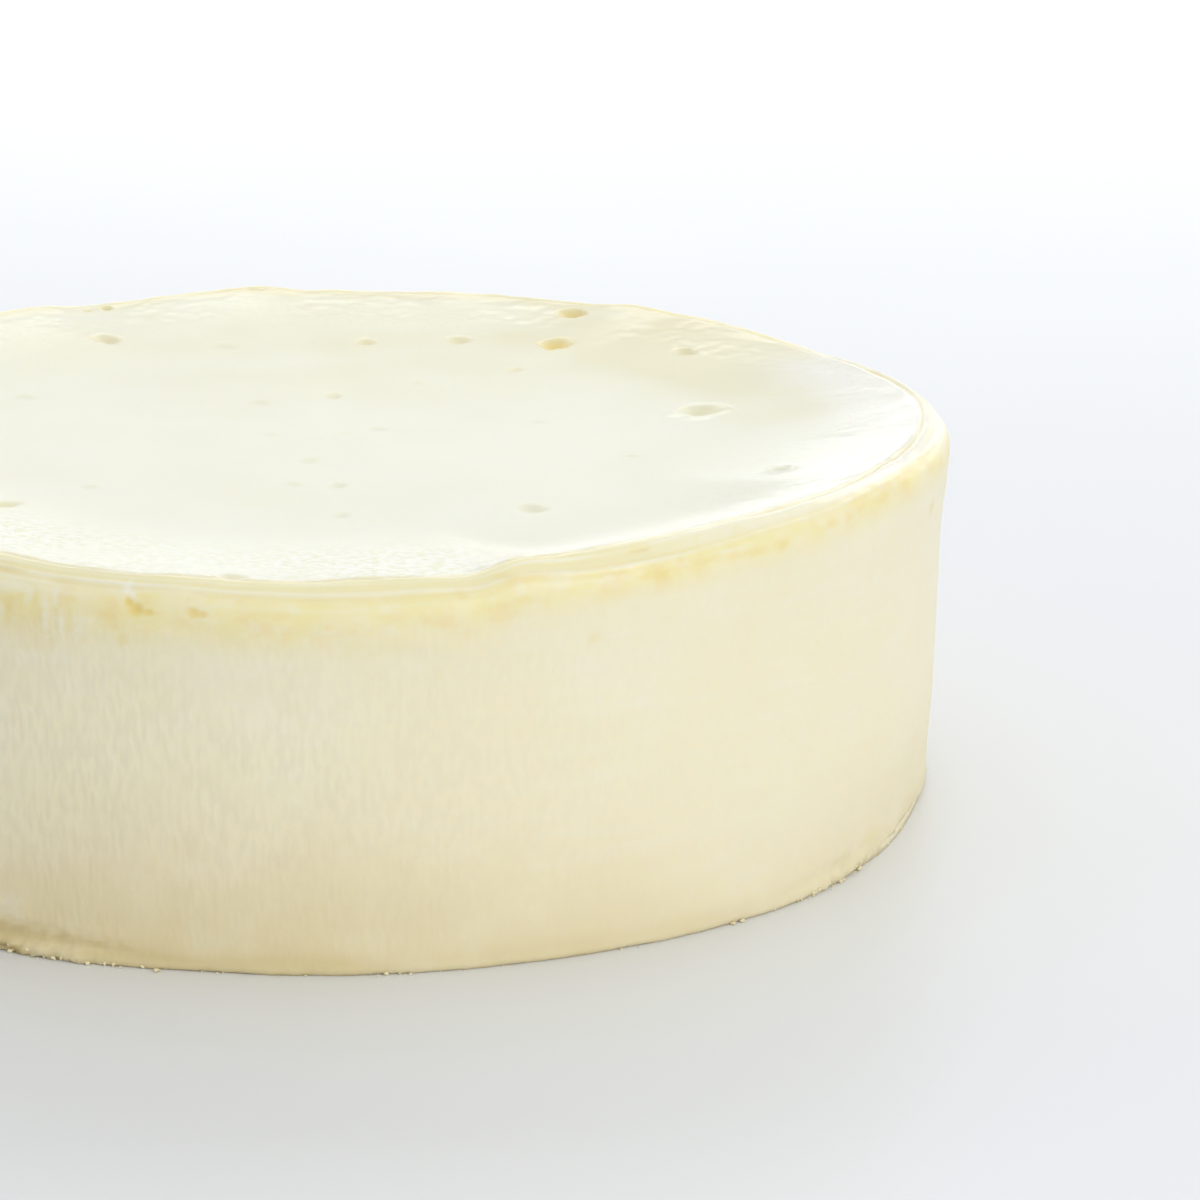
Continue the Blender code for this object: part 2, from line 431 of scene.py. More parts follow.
def turnCake():
    # the even, turned form, with each vertex's normal and distance outside the groove kept
    bm = bmesh.new()
    layers = [bm.verts.layers.float.new(name) for name in turnedLayers]

    def addRing(count, radius, height, *kept):
        ring = [bm.verts.new(onRing(radius, 360.0 * i / count, height)) for i in range(count)]
        for vert in ring:
            for layer, value in zip(layers, kept):
                vert[layer] = value
        return ring

    ring = None
    for station in stationsAlong(halfProfile()):
        nextRing = addRing(ringColumns(station[0], station[-1]), *station)
        if ring:
            stitch(bm, ring, nextRing)
        else:
            firstRing, edgeFromRim = nextRing, station[-1]
        ring = nextRing
    middle = addRing(1, 0.0, sunkenHeight(0.0), 0.0, 1.0, -grooveRadius / mm)[0]
    for i, vert in enumerate(ring):
        bm.faces.new((vert, ring[(i + 1) % len(ring)], middle))
    ring = firstRing
    while len(ring) % 2 == 0:
        count = len(ring) // 2
        nextRing = addRing(count, baseRadius * count / len(firstRing), 0.0, 0.0, -1.0, edgeFromRim)
        stitch(bm, ring, nextRing)
        ring = nextRing
    bm.faces.new(ring)
    bmesh.ops.recalc_face_normals(bm, faces=bm.faces)
    return bm


# Burst bubbles and dents in the top: bearing, distance from the axis, width round the cake, length
# across it and depth in mm, how brown inside, and how high their edge stands as a share of the depth
topBubbles = (
    (147.5, 83.0, 7.6, 8.2, 1.6, 0.92, 0.02), (151.5, 103.5, 7.2, 6.2, 1.4, 0.70, 0.02),
    (161.0, 80.0, 5.6, 6.0, 0.9, 0.26, 0.02), (174.5, 75.5, 4.8, 5.2, 0.8, 0.28, 0.02),
    (130.5, 92.5, 5.0, 5.6, 0.9, 0.22, 0.05), (145.5, 64.0, 3.8, 4.6, 0.5, 0.22, 0.03),
    (-149.5, 87.0, 6.0, 7.0, 1.3, 0.26, 0.04), (-163.5, 74.0, 6.4, 6.0, 0.3, 0.03, 0.02),
    (179.0, 32.5, 4.4, 5.6, 0.6, 0.10, 0.03), (-153.0, 29.5, 4.4, 5.6, 0.35, 0.02, 0.02),
    (126.5, 11.0, 3.8, 4.4, 0.35, 0.02, 0.02), (104.0, 72.0, 8.0, 8.4, 1.1, 0.20, 0.35),
    (75.5, 57.0, 2.8, 3.4, 0.3, 0.01, 0.05), (34.0, 63.0, 6.2, 7.6, 0.9, 0.08, 0.04),
    (2.0, 34.5, 4.0, 5.0, 0.5, 0.04, 0.03), (65.5, 88.0, 4.4, 5.0, 0.7, 0.03, 0.30),
    (-49.0, 75.5, 5.4, 6.4, 0.8, 0.30, 0.04), (-119.5, 67.0, 4.4, 5.4, 0.3, 0.01, 0.02),
    (2.0, 55.0, 3.6, 4.8, 0.3, 0.01, 0.02), (-155.0, 107.0, 3.4, 2.6, 0.7, 0.45, 0.05),
    (-152.5, 106.0, 2.6, 2.2, 0.5, 0.35, 0.05), (-172.0, 108.6, 5.0, 2.0, 0.5, 0.25, 0.20),
    (-8.7, 107.4, 5.6, 4.6, 0.6, 0.28, 0.25),
)
# The same on the side and the lip, by height in mm in place of the distance
sideDents = (
    (-16.9, 64.6, 1.9, 2.4, 0.25, 1.00, 0.05), (-16.2, 63.5, 3.2, 2.4, 0.32, 1.00, 0.03),
    (-15.2, 63.1, 2.6, 1.5, 0.18, 0.80, 0.03), (-11.3, 63.5, 2.6, 2.0, 0.20, 0.80, 0.03),
    (-10.6, 63.3, 2.4, 1.4, 0.12, 0.70, 0.03), (27.5, 70.2, 5.4, 1.5, 0.40, 0.36, 0.15),
)
# Marks without relief, by bearing, height, width, tallness in mm, and strength
orangeStains = (
    (-25.0, 60.4, 1.3, 8.0, 0.60), (-23.3, 62.6, 2.2, 3.0, 0.45), (-27.6, 62.8, 4.0, 2.6, 0.45),
    (-17.4, 58.0, 1.6, 2.4, 0.45), (-21.8, 64.3, 1.4, 1.8, 0.50), (-14.5, 63.0, 3.6, 1.0, 0.35),
    (22.5, 57.0, 1.2, 1.6, 0.45), (9.3, 53.4, 1.4, 2.0, 0.25), (10.9, 65.7, 2.6, 1.6, 0.45),
    (28.5, 66.2, 6.5, 2.2, 0.60), (33.5, 67.2, 6.0, 1.6, 0.45), (38.5, 66.9, 6.0, 1.5, 0.55),
    (42.0, 67.0, 4.0, 1.8, 0.60), (48.5, 68.3, 3.6, 2.0, 0.50), (53.0, 68.9, 3.0, 1.4, 0.40),
    (57.0, 69.0, 5.0, 1.8, 0.55), (62.0, 69.4, 5.0, 1.6, 0.45), (14.5, 68.3, 7.0, 1.0, 0.40),
    (5.0, 63.0, 5.0, 1.8, 0.35), (-4.0, 63.4, 4.0, 1.6, 0.30), (16.5, 64.6, 6.0, 1.5, 0.35),
    (-27.8, 60.0, 1.1, 7.0, 0.55), (-26.4, 61.5, 1.0, 8.0, 0.50), (-22.0, 61.0, 1.1, 6.0, 0.50),
    (-29.6, 63.0, 3.0, 3.0, 0.50), (-25.1, 63.4, 1.4, 5.0, 0.60), (-19.0, 62.0, 3.0, 2.4, 0.30),
    (-28.5, 67.4, 8.0, 1.5, 0.45), (-23.0, 66.6, 5.0, 1.0, 0.30), (60.0, 4.4, 9.0, 3.0, 0.30),
    (-25.5, 58.2, 17.0, 8.0, 0.30),
)
paleMarks = (
    (-26.8, 65.2, 9.0, 2.2, 0.50), (-23.4, 64.0, 1.5, 4.6, 0.50), (-29.0, 8.2, 6.0, 5.0, 0.20),
    (-24.2, 60.5, 1.0, 8.0, 0.50), (-25.9, 62.0, 0.9, 7.0, 0.42), (-22.9, 60.5, 0.9, 7.0, 0.42),
    (-28.6, 61.0, 1.0, 8.0, 0.45), (-21.2, 59.5, 1.4, 3.0, 0.30), (-20.4, 60.8, 1.6, 2.0, 0.30),
    (-17.2, 66.6, 2.0, 2.2, 0.75), (-16.6, 65.6, 1.6, 1.2, 0.60), (-13.6, 59.8, 2.4, 2.2, 0.20),
    (36.5, 68.0, 8.0, 0.6, 0.40),
)
# soaked from below, partly painted shade: from 1 up the strength leads on from sodden to a dark line of
# painted contact shadow
soggyAndShadeMarks = (
    (-31.0, 3.6, 48.0, 3.0, 0.62), (-22.5, 3.4, 10.0, 1.4, 0.30), (-17.0, 2.0, 24.0, 1.8, 0.26),
    (-31.2, 1.8, 3.6, 1.0, 1.90), (-29.6, 1.4, 3.6, 0.9, 1.90), (-28.0, 0.9, 3.6, 0.9, 1.80),
    (54.0, 3.4, 9.0, 2.4, 0.20),
)


def scatterDents(count, seed):
    # further small ones where nothing in particular shows
    chance = random.Random(seed)
    dents = []
    for _ in range(count):
        width = 1.8 + 2.6 * chance.random() ** 2
        distance = grooveRadius / mm * 0.93 * math.sqrt(chance.random())
        dents.append((chance.uniform(-180.0, 180.0), distance, width, width * chance.uniform(1.0, 1.3),
                      0.05 * width, 0.05 * chance.random(), 0.02))
    return dents


def scatterMarks(count, seed):
    # orange marks under the rim, on the part of the cake beyond those listed
    chance = random.Random(seed)
    return [(chance.uniform(62.0, 325.0), crestHeight / mm - 1.0 - 7.0 * chance.random(),
             1.5 + 6.0 * chance.random() ** 2, 1.2 + 2.6 * chance.random(),
             0.25 + 0.5 * chance.random())
            for _ in range(count)]


def radiusAtHeight(height):
    side = [point for point in halfProfile() if point[0] > grooveRadius]
    return min(side, key=lambda point: abs(point[1] - height))[0]


def heightBefore(bearing, height):
    # where on the even form a mark of this height lies
    stretch = smooth(height, cakeShape["stretchFloor"], ridgeHeight)
    before = height - rimRise(bearing) * stretch
    outward = smooth(radiusAtHeight(before), grooveRadius, ridgeRadius) * stretch
    return min(before - lipLift(bearing) * outward, crestHeight - 0.1 * mm)


def placeDents():
    placed = []
    for bearing, distance, *sizes in list(topBubbles) + scatterDents(9, 5):
        placed.append((onRing(distance * mm, bearing, sunkenHeight(distance * mm)), bearing, sizes))
    for bearing, height, *sizes in sideDents:
        before = heightBefore(bearing, height * mm)
        placed.append((onRing(radiusAtHeight(before), bearing, before), bearing, sizes))
    return placed


def indexTree(bm):
    bm.verts.ensure_lookup_table()
    bm.verts.index_update()
    tree = KDTree(len(bm.verts))
    for vert in bm.verts:
        tree.insert(vert.co, vert.index)
    tree.balance()
    return tree


def refineAround(bm, dents):
    # splits the faces in and round each dent, so that its edge is crisp
    tree = indexTree(bm)
    near = set()
    for centre, bearing, sizes in dents:
        reach = max(sizes[0], sizes[1]) * mm / 2
        found = {index for _, index, _ in tree.find_range(centre, 1.4 * reach + 0.5 * mm)}
        near |= {edge for index in found for edge in bm.verts[index].link_edges
                 if edge.other_vert(bm.verts[index]).index in found and edge.calc_length() > 0.55 * mm}
    bm.edges.index_update()
    edges = sorted(near, key=lambda edge: edge.index)
    bmesh.ops.subdivide_edges(bm, edges=edges, cuts=1, use_grid_fill=True)
    bmesh.ops.triangulate(bm, faces=[face for face in bm.faces if len(face.verts) > 4])


def dentAt(place, centre, bearing, sizes, salt):
    # a bowl with an uneven outline and a raised edge: height change, and how far inside
    width, length, depth, brown, raised = sizes
    offset = place - centre
    angle = math.radians(bearing)
    along = offset.x * math.cos(angle) + offset.y * math.sin(angle)
    other = math.sqrt(max(offset.length_squared - along * along, 0.0))
    away = 2.0 * math.hypot(along / width, other / length) / mm
    wobble = noise.noise(offset * (1.6 / (width * mm)) + Vector((salt, 0.0, 0.0)))
    wobble += 0.4 * noise.noise(offset * (4.0 / (width * mm)) + Vector((0.0, salt, 0.0)))
    away /= 1.0 + 0.36 * wobble
    if away > 1.8:
        return 0.0, 0.0
    bowl = max(0.0, 1.0 - away * away) ** 1.6
    edge = math.exp(-((away - 1.15) / 0.24) ** 2)
    return depth * mm * (raised * edge - bowl), smooth(1.0 - away, -0.30, 0.65)


def markAt(bearing, height, marks, salt):
    # how strongly any of the marks covers a place on the side
    strongest = 0.0
    for centre, markHeight, width, tall, strength in marks:
        turn = (bearing - centre + 180.0) % 360.0 - 180.0
        if abs(turn) > width:
            continue
        across = 2.0 * math.radians(turn) * shoulderRadius / mm / width
        up = 2.0 * (height / mm - markHeight) / tall
        if abs(up) > 2.0 or abs(across) > 2.0:
            continue
        ragged = noise.noise(Vector((bearing * 0.9, height / mm * 0.8, salt + centre)))
        ragged += 0.5 * noise.noise(Vector((bearing * 2.4, height / mm * 2.0, salt)))
        away = math.hypot(across, up) / (1.0 + 0.6 * ragged)
        strongest = max(strongest, strength * (1.0 - smooth(away, 0.35, 1.25)))
    return strongest


def ringNoise(x, y, across, sizeRound, sizeAcross, salt=0.0):
    # noise that closes round the cake: sizes are those of its lumps, round the rim and across it
    return noise.noise(Vector((x / sizeRound, y / sizeRound, across / sizeAcross + salt)))


# Folds of skin that run along the rim: mm outside the groove, wander, height and half width in mm,
# and the least share of the height that is left anywhere
rimFolds = (
    (-1.3, 0.5, 0.10, 0.40, 0.0), (0.35, 0.5, 0.24, 0.30, 0.3), (1.5, 0.7, 0.20, 0.28, 0.3),
    (2.9, 0.4, 0.30, 0.36, 0.6), (4.3, 0.8, 0.10, 0.40, 0.0), (5.7, 0.7, 0.06, 0.45, 0.0),
)
lipFold = 3     # the one that bounds the lip, which bulges further out where it runs up to the right
plainFold = 0.20    # a lower fold than this also gets less painted highlight


# The rolled rim. Bands are where something begins, is full, fades and ends: those named for bearings
# are in degrees, and the others in mm outside the groove.
rimShape = {
    "reach": 20.0,              # either way from the groove
    "lumps": ((0.30, 10.0, 7.0, 1.7), (0.12, 3.6, 2.6, 6.1)),   # height, size, salt
    "lumpBand": (-9.0, -1.0, 7.0, 15.0),
    "calming": 0.7,             # how much lower the lumps are on the calm rim
    "folded": (-4.0, 9.0),
    "glazedLip": (64.0, 30.0, 1.0),     # a swell where the flat lip is smooth
    "glazing": 0.75,
    "bulge": 1.4,
    "bulgeBearings": (5.0, 24.0, 55.0, 75.0),
    "valleyBand": (-0.9, 0.0, 2.6, 4.6),
    "grooveDepth": 0.30,
    "grooveWidth": 0.42,
    "shallowBearings": (2.0, 12.0, 30.0, 42.0),
    "clearBearings": (32.0, 46.0, 106.0, 122.0),    # its colour is stronger and wider here
    "clearExtra": (2.0, 0.2),
    "yellowBearings": (52.0, 66.0, 112.0, 125.0),   # and shows through the painted glare on the rim here
}


def rimRelief(x, y, across):
    # folds, the groove and soft lumps: height, how deep in a valley and how near a fold's crest, where
    # a highlight is painted
    if abs(across) > rimShape["reach"] * mm:
        return 0.0, 0.0, 0.0
    bearing = bearingOf(x, y)
    lumps = sum(height * mm * ringNoise(x, y, across, long * mm, wide * mm, salt)
                for height, long, wide, salt in rimShape["lumps"])
    lumps *= band(across / mm, *rimShape["lumpBand"])
    lumps *= 1.0 - rimShape["calming"] * band(bearing, *bakeShape["calmRim"])
    low, high = rimShape["folded"]
    if not low * mm < across < high * mm:
        return lumps, 0.0, 0.0
    folds, crest = 0.0, 0.0
    glazed = swell(bearing, *rimShape["glazedLip"])
    for salt, (offset, wander, height, halfWidth, least) in enumerate(rimFolds):
        centre = offset + wander * (ringNoise(x, y, 0.0, 21 * mm, 1.0, 7.3 * salt)
                                    + 0.35 * ringNoise(x, y, 0.0, 6 * mm, 1.0, 3.1 * salt + 40.0))
        if salt == lipFold:
            centre += rimShape["bulge"] * band(bearing, *rimShape["bulgeBearings"])
        share = 0.55 + 1.3 * ringNoise(x, y, 0.0, 15 * mm, 1.0, 5.7 * salt + 80.0)
        share = min(max(share, least), 1.2) * (1.0 - rimShape["glazing"] * glazed)
        ridge = share * math.exp(-((across / mm - centre) / halfWidth) ** 2)
        folds += height * mm * ridge
        crest = max(crest, ridge * min(height / plainFold, 1.0))
    centre = 0.35 * ringNoise(x, y, 0.0, 15 * mm, 1.0, 9.3) - 0.35
    depth = rimShape["grooveDepth"] * (0.9 + 0.7 * ringNoise(x, y, 0.0, 11 * mm, 1.0, 2.2))
    depth *= 1.0 - 0.6 * band(bearing, *rimShape["shallowBearings"])
    away, width = across / mm - centre, rimShape["grooveWidth"]
    groove = depth * mm * math.exp(-(away / width) ** 2)
    clear = band(bearing, *rimShape["clearBearings"])
    stronger, wider = rimShape["clearExtra"]
    line = (0.9 + stronger * clear) * depth * math.exp(-(away / (width + wider * clear)) ** 2)
    valley = band(across / mm, *rimShape["valleyBand"])
    valley *= (1.0 - min(crest * 1.3, 1.0)) * (1.0 - glazed)
    return folds + lumps - groove, max(valley, line), min(crest, 1.0)


# Painted glare, a pale tint where the lip and the rim behind it catch the light: strength, then bands
# as above, bearings first
paleRims = (
    (0.48, (24.0, 38.0, 55.0, 75.0), (0.1, 0.7, 2.6, 4.2)),
    (0.95, (66.0, 86.0, 112.0, 125.0), (-20.0, -6.0, 3.0, 6.0)),
)
paleLip = (66.0, 34.0, 0.80)    # a swell of the first one's painted glare


def lipAndRimGlare(bearing, across):
    # painted glare: the lip is painted pale where it runs up to the right and lies flat, and so is the
    # rim behind it
    (lipShare, lipBearings, lipBand), (rimShare, rimBearings, rimBand) = paleRims
    lip = max(swell(bearing, *paleLip), lipShare * band(bearing, *lipBearings))
    rim = rimShare * band(bearing, *rimBearings)
    return max(lip * band(across / mm, *lipBand), rim * band(across / mm, *rimBand))


# The foot: swells where it has crumbled, one where its edge has broken away instead, and heights in mm
footShape = {
    "worn": ((-27.0, 15.0, 1.0), (56.0, 18.0, 0.9), (150.0, 25.0, 0.7), (-120.0, 12.0, 0.8)),
    "broken": (68.0, 26.0, 1.0),
    "tuck": 1.8,                # how far the broken edge lies in
    "tuckHeights": (1.0, 22.0),
    "flange": (0.1, 0.75),      # how far the foot stands out: everywhere, and more where worn
    "lumpy": (0.25, 1.3),       # and the lumps on it
    "reach": (1.8, 1.6),        # and how far up it goes
    "undercut": 0.35,
    "roughPatch": (-29.0, 4.0, 1.0),
    "roughHeights": (4.0, 7.0, 9.5, 12.5),
    "wornHeights": (1.0, 2.0, 5.0, 8.0),
    "grit": 0.35,
}
sideWaves = ((0.20, 34.0, 30.0, 4.4), (0.06, 9.0, 14.0, 7.9))   # height, size, salt
wavyHeights = (2.0, 8.0, 52.0, 62.0)


def wornFoot(bearing):
    return min(sum(swell(bearing, *place) for place in footShape["worn"]), 1.0)


def brokenFoot(bearing):
    return swell(bearing, *footShape["broken"])


def sideRelief(x, y, height):
    # the side's broad waves, and a ragged foot
    up, bearing = height / mm, bearingOf(x, y)
    waves = sum(size * ringNoise(x, y, height, long * mm, tall * mm, salt)
                for size, long, tall, salt in sideWaves)
    worn, broken = wornFoot(bearing), brokenFoot(bearing)
    whole = 1.0 - broken
    rough = swell(bearing, *footShape["roughPatch"]) * band(up, *footShape["roughHeights"])
    rough += 0.8 * worn * band(up, *footShape["wornHeights"])
    grit = footShape["grit"] * min(rough, 1.0) * ringNoise(x, y, height, 1.8 * mm, 1.6 * mm, 3.3)
    reach = footShape["reach"][0] + footShape["reach"][1] * worn
    ragged = 1.0 - smooth(up, (0.45 - 0.4 * broken) * reach, (1.0 + 0.4 * broken) * reach)
    crumb = abs(ringNoise(x, y, height, 2.4 * mm, 1.8 * mm, 2.9))
    crumb += 0.6 * abs(ringNoise(x, y, height, 1.1 * mm, 1.0 * mm, 5.2))
    undercut = footShape["undercut"] * worn * whole
    undercut *= band(up, 0.8 * reach, 1.1 * reach, 1.3 * reach, 2.0 * reach)
    flange = footShape["flange"][0] + footShape["flange"][1] * worn * whole - 0.2 * broken
    flange += 0.25 * ringNoise(x, y, 0.0, 7 * mm, 1.0, 6.6)
    lumpy = footShape["lumpy"][0] + footShape["lumpy"][1] * worn * (1.0 - 0.8 * broken)
    tucked = footShape["tuck"] * broken * (1.0 - smooth(up, *footShape["tuckHeights"]))
    foot = ragged * (flange + lumpy * crumb) - undercut - tucked
    return (waves * band(up, *wavyHeights) + grit + foot) * mm


# The top. Relief is a height and a size in mm, and a salt. A warm patch is a swell, and a band of
# distances from the axis.
topShape = {
    "broad": (0.14, 26.0, 0.3),
    "fine": (0.02, 8.0, 0.9),
    "wrinkles": (0.15, 2.1, 0.1),
    "wrinkled": (0.8, 3.0, 14.0, 30.0),     # mm inside the groove
    "slickBearings": (8.0, 26.0, 112.0, 140.0),
    "slickening": 0.7,          # how much lower the wrinkles are on the slick rim
    "warmPatches": (((126.0, 40.0, 1.25), (62.0, 88.0, 105.0, 116.0)),
                    ((100.0, 18.0, 0.5), (70.0, 80.0, 92.0, 99.0))),
    "warmEdge": (-1.0, 0.4, 1.5, 6.0),      # mm inside the groove
    "warmBack": (165.0, 50.0, 0.30),
}


def slickness(bearing):
    # the wet rim is smooth where it runs up to the right, and wrinkled elsewhere
    return band(bearing, *topShape["slickBearings"])


def unevenness(name, x, y):
    height, size, salt = topShape[name]
    return height * mm * noise.noise(Vector((x, y, salt)) / (size * mm))


def topRelief(x, y, inward):
    # inward is metres inside the groove
    wrinkled = band(inward / mm, *topShape["wrinkled"])
    wrinkled *= 1.0 - topShape["slickening"] * slickness(bearingOf(x, y))
    wrinkled *= min(max(0.6 + 1.4 * noise.noise(Vector((x, y, 0.7)) / (11 * mm)), 0.1), 1.0)
    uneven = unevenness("broad", x, y) + unevenness("fine", x, y)
    return uneven * smooth(inward, 1.0 * mm, 16.0 * mm) + unevenness("wrinkles", x, y) * wrinkled


def topWarmth(x, y, radius, bearing):
    # where the top is yellower: by the rim, and in a broad patch at the back right
    patch = sum(swell(bearing, *place) * band(radius / mm, *distances)
                for place, distances in topShape["warmPatches"])
    edge = band((grooveRadius - radius) / mm, *topShape["warmEdge"])
    edge *= 0.2 + 0.8 * smooth(y, 10 * mm, 70 * mm)
    back = (0.36 + swell(bearing, *topShape["warmBack"])) * smooth(y, -5 * mm, 75 * mm)
    cloud = 0.8 + 0.6 * noise.noise(Vector((x, y, 0.5)) / (15 * mm))
    return min((patch + 0.75 * edge + back) * cloud, 1.0)


# Tan above the plate, partly painted shade: strength and reach in mm, and what is added to each at the
# front left, which is painted shade
footTanAndShading = {
    "shadedFrontLeft": (-15.0, 62.0, 1.0),
    "bands": (((0.25, 0.40), (28.0, 13.0)), ((0.28, 0.10), (6.0, 0.0))),
}


def footTanAndShade(bearing, height):
    left = swell(bearing, *footTanAndShading["shadedFrontLeft"])
    return sum((strength + more * left) * (1.0 - smooth(height / mm, 0.0, reach + further * left))
               for (strength, more), (reach, further) in footTanAndShading["bands"])


combedSwells = ((-22.0, 64.0, 1.0), (170.0, 90.0, 0.8))     # where the side is streaked upright
cakeMasks = ("crease", "fold", "brown", "pale", "soggyAndShade", "warm", "combed", "hollow", "footTone", "slick")


def bakeCake(bm, dents):
    # moves every vertex of the turned form to its place on the real one, and notes its colouring
    for name in cakeMasks:
        bm.verts.layers.float.new(name)
    masks = {name: bm.verts.layers.float[name] for name in cakeMasks}
    normalOut, normalUp, fromRim = (bm.verts.layers.float[name] for name in turnedLayers)
    tree = indexTree(bm)
    sunk = {}
    for salt, (centre, bearing, sizes) in enumerate(dents):
        for place, index, _ in tree.find_range(centre, 1.1 * max(sizes[0], sizes[1]) * mm):
            change, inside = dentAt(place, centre, bearing, sizes, 3.7 * salt)
            depth, browned, hollow = sunk.get(index, (0.0, 0.0, 0.0))
            sunk[index] = (depth + change, max(browned, inside * sizes[3]), max(hollow, inside))
    stains = list(orangeStains) + scatterMarks(34, 3)
    for vert in bm.verts:
        x, y, height = vert.co
        radius = math.hypot(x, y)
        if radius < 0.5 * mm or (height < 0.01 * mm and radius < baseRadius - 0.5 * mm):
            continue
        bearing = bearingOf(x, y)
        onTop = vert[fromRim] < 0.0
        relief, vert[masks["crease"]], vert[masks["fold"]] = rimRelief(x, y, vert[fromRim] * mm)
        relief += topRelief(x, y, -vert[fromRim] * mm) if onTop else sideRelief(x, y, height)
        change, vert[masks["brown"]], vert[masks["hollow"]] = sunk.get(vert.index, (0.0, 0.0, 0.0))
        relief += change
        newRadius, newHeight = (bakedTop if onTop else bakedSide)(radius, height, bearing)
        yellow = min(vert[masks["crease"]] * band(bearing, *rimShape["yellowBearings"]), 1.0)
        # painted glare on the lip and the rim, less where the yellow crease shows
        vert[masks["pale"]] = lipAndRimGlare(bearing, vert[fromRim] * mm) * (1.0 - yellow)
        vert[masks["slick"]] = slickness(bearing)
        if onTop:
            vert[masks["warm"]] = topWarmth(x, y, radius, bearing)
        else:
            stained = markAt(bearing, newHeight, stains, 1.0)
            vert[masks["brown"]] = max(vert[masks["brown"]], 0.8 * stained)
            vert[masks["pale"]] = max(vert[masks["pale"]], markAt(bearing, newHeight, paleMarks, 2.0))
            vert[masks["soggyAndShade"]] = markAt(bearing, newHeight, soggyAndShadeMarks, 3.0)
            combed = max(swell(bearing, *place) for place in combedSwells)
            vert[masks["combed"]] = combed * (1.0 - 0.4 * smooth(height, 34 * mm, 56 * mm))
            vert[masks["footTone"]] = footTanAndShade(bearing, height)
        if height < 0.01 * mm:
            newRadius, newHeight = newRadius + max(relief, -0.3 * mm), 0.0
        else:
            newRadius += relief * vert[normalOut]
            newHeight = max(newHeight + relief * vert[normalUp], 0.02 * mm)
        vert.co = (x * newRadius / radius, y * newRadius / radius, newHeight)


def makeCake():
    bm = turnCake()
    dents = placeDents()
    refineAround(bm, dents)
    bakeCake(bm, dents)
    return placeMesh("bakedCake", bm)


cakeColours = {
    "side": (0.915, 0.853, 0.640, 1.0),
    "sideDeep": (0.908, 0.815, 0.550, 1.0),
    "sidePale": (0.915, 0.880, 0.720, 1.0),
    "streak": (0.795, 0.735, 0.535, 1.0),
    "underRim": (0.900, 0.808, 0.430, 1.0),
    # painted shade among the painted glints of the wet rim band
    "fleckShade": (0.800, 0.800, 0.560, 1.0),
    "orange": (0.900, 0.735, 0.380, 1.0),
    "lip": (0.915, 0.852, 0.570, 1.0),
    # painted highlight along the crests of the rim's folds
    "foldHighlight": (0.930, 0.900, 0.730, 1.0),
    "valley": (0.830, 0.745, 0.380, 1.0),
    "top": (0.876, 0.876, 0.730, 1.0),
    "topWarm": (0.800, 0.750, 0.500, 1.0),
    "bubble": (0.850, 0.685, 0.250, 1.0),
    # painted shade inside the dents
    "dentShade": (0.735, 0.735, 0.570, 1.0),
    # whitish: pale marks, and painted glare and glints
    "pale": (0.925, 0.912, 0.815, 1.0),
    # tan at the foot, darkened as painted shade
    "foot": (0.760, 0.635, 0.360, 1.0),
    # painted contact shadow, a dark line at the floor
    "contactShadow": (0.330, 0.260, 0.150, 1.0),
    # soaked brown, partly painted shade
    "soggyAndShade": (0.600, 0.475, 0.215, 1.0),
}


# Where a colouring begins, is full, fades and ends, in mm outside the groove
cakeZones = {
    "top": (-400.0, -399.0, -1.9, -0.3),
    "underSlickRim": (2.6, 4.2, 7.0, 16.0),
    "underRim": (2.6, 4.0, 5.4, 12.0),
    "nearSlickRim": (3.0, 4.4, 8.5, 14.0),
    "nearRim": (3.0, 4.2, 6.4, 11.0),
    "lip": (-1.2, 0.2, 2.4, 4.0),
    # the wet rim band, where glints and shade are painted in flecks
    "glintBand": (-40.0, -16.0, -1.2, 0.2),
    "wet": (-400.0, -399.0, 4.0, 7.5),
    "glossy": (-40.0, -12.0, -1.2, 0.6),
    "shinyLip": (-0.6, 0.4, 3.4, 6.0),
    "shinyRim": (-30.0, -9.0, 3.4, 6.0),
    "side": (5.0, 12.0, 70.0, 90.0),
}
# Cloudy patches: scale, the two values where the noise is cut, detail and squeeze along the axes
cakePatches = {
    "clouds": (24.0, 0.36, 0.66),
    "mottling": (210.0, 0.40, 0.68, 3.5, (1.0, 1.0, 0.7)),
    "specks": (560.0, 0.48, 0.74, 2.0),
    "streaks": (900.0, 0.34, 0.66, 0.0, (1.0, 1.0, 0.34)),
    "bands": (520.0, 0.42, 0.70, 0.5, (0.07, 0.07, 1.0)),
    "gone": (70.0, 0.35, 0.55),     # leaves the streaks patchy
    "uneven": (110.0, 0.34, 0.62),
    "blotches": (190.0, 0.50, 0.68),
    "curds": (390.0, 0.50, 0.72, 1.5, (0.7, 0.7, 1.0)),
    "topClouds": (30.0, 0.35, 0.70),
    "wrinkles": (620.0, 0.42, 0.62, 2.0),
    "footPatch": (60.0, 0.30, 0.65),
    "dull": (120.0, 0.3, 0.7),
    "grain": (1400.0, 0.0, 1.0, 2.0),
}
cakeFinish = {
    "Coat Roughness": 0.15,
    "Coat IOR": 1.36,
    "IOR": 1.42,
    "Subsurface Weight": 0.25,
    "Subsurface Radius": (1.0, 0.75, 0.40),
    "Subsurface Scale": 0.004,
}


